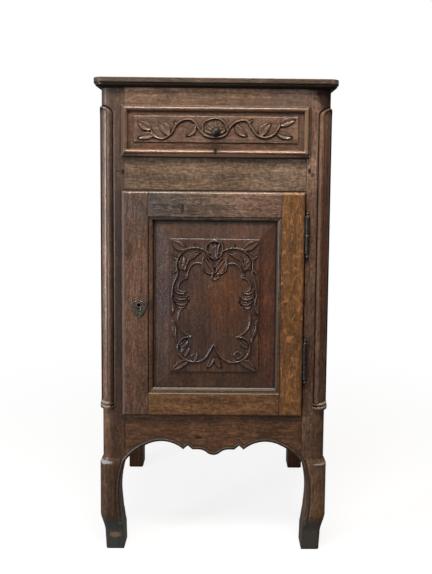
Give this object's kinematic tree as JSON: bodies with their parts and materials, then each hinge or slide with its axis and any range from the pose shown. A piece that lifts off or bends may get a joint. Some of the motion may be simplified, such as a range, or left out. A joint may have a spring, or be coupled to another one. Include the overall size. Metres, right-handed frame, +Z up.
{
  "type": "jelly cupboard",
  "caption": "Tall narrow oak cupboard for jam jars: carved drawer over a carved panelled door, rounded corner columns, scalloped apron and scrolled front legs.",
  "frame": {"origin": "on the floor, under the middle of the whole object's box", "axes": "+Z up, -Y towards the front with the door, +X to the viewer's right"},
  "size_m": [0.56, 0.469, 1.12],
  "materials": {
    "oak_top": "waxed",
    "oak_frame": "waxed",
    "oak_dark": "waxed",
    "oak_side": "waxed",
    "oak_back": "waxed",
    "oak_inside": "waxed",
    "oak_peg": "waxed",
    "oak_drawer": "waxed",
    "oak_drawer_box": "waxed",
    "oak_door": "waxed",
    "oak_panel": "waxed",
    "iron": "forged",
    "plate_iron": "worn"
  },
  "bodies": {
    "case": {"top_front_board": "oak_top", "top_back_board": "oak_top", "front_post_left": "oak_frame", "front_post_right": "oak_frame", "top_front_rail": "oak_frame", "middle_front_rail": "oak_frame", "apron": "oak_dark", "rear_post_left": "oak_dark", "rear_post_right": "oak_dark", "side_top_rail_left": "oak_side", "side_top_rail_right": "oak_side", "side_bottom_rail_left": "oak_side", "side_bottom_rail_right": "oak_side", "side_panel_left": "oak_side", "side_panel_right": "oak_side", "back_top_rail": "oak_back", "back_bottom_rail": "oak_back", "back_board_left": "oak_back", "back_board_middle": "oak_back", "back_board_right": "oak_back", "floor_board_front": "oak_inside", "floor_board_middle": "oak_inside", "floor_board_back": "oak_inside", "floor_bearer_left": "oak_inside", "floor_bearer_right": "oak_inside", "shelf": "oak_inside", "shelf_cleat_left": "oak_inside", "shelf_cleat_right": "oak_inside", "drawer_runner_left": "oak_inside", "drawer_runner_right": "oak_inside", "drawer_guide_left": "oak_inside", "drawer_guide_right": "oak_inside", "drawer_kicker_left": "oak_inside", "drawer_kicker_right": "oak_inside", "frame_pegs": "oak_peg", "hinge_lower_frame_leaf": "iron", "hinge_upper_frame_leaf": "iron"},
    "drawer": {"drawer_front": "oak_drawer", "drawer_side_left": "oak_drawer_box", "drawer_side_right": "oak_drawer_box", "drawer_back": "oak_drawer_box", "drawer_bottom": "oak_drawer_box", "drawer_knob": "iron"},
    "door": {"door_lock_stile": "oak_door", "door_hinge_stile": "oak_door", "door_top_rail": "oak_door", "door_bottom_rail": "oak_door", "door_panel": "oak_panel", "door_pegs": "oak_peg", "key_plate": "plate_iron", "lock_case": "iron", "hinge_lower_door_leaf": "iron", "hinge_upper_door_leaf": "iron"},
    "bolt": {"lock_bolt": "iron"}
  },
  "joints": [
    {"name": "drawer_slide", "type": "slide", "parent": "case", "child": "drawer", "axis": [0, -1, 0], "range_m": [0, 0.29]},
    {"name": "door_hinge", "type": "hinge", "parent": "case", "child": "door", "pos_m": [0.213, -0.1985, 0.6], "axis": [0, 0, 1], "range_deg": [0, 150]},
    {"name": "bolt_slide", "type": "slide", "parent": "door", "child": "bolt", "axis": [-1, 0, 0], "range_m": [0, 0.01]}
  ]
}
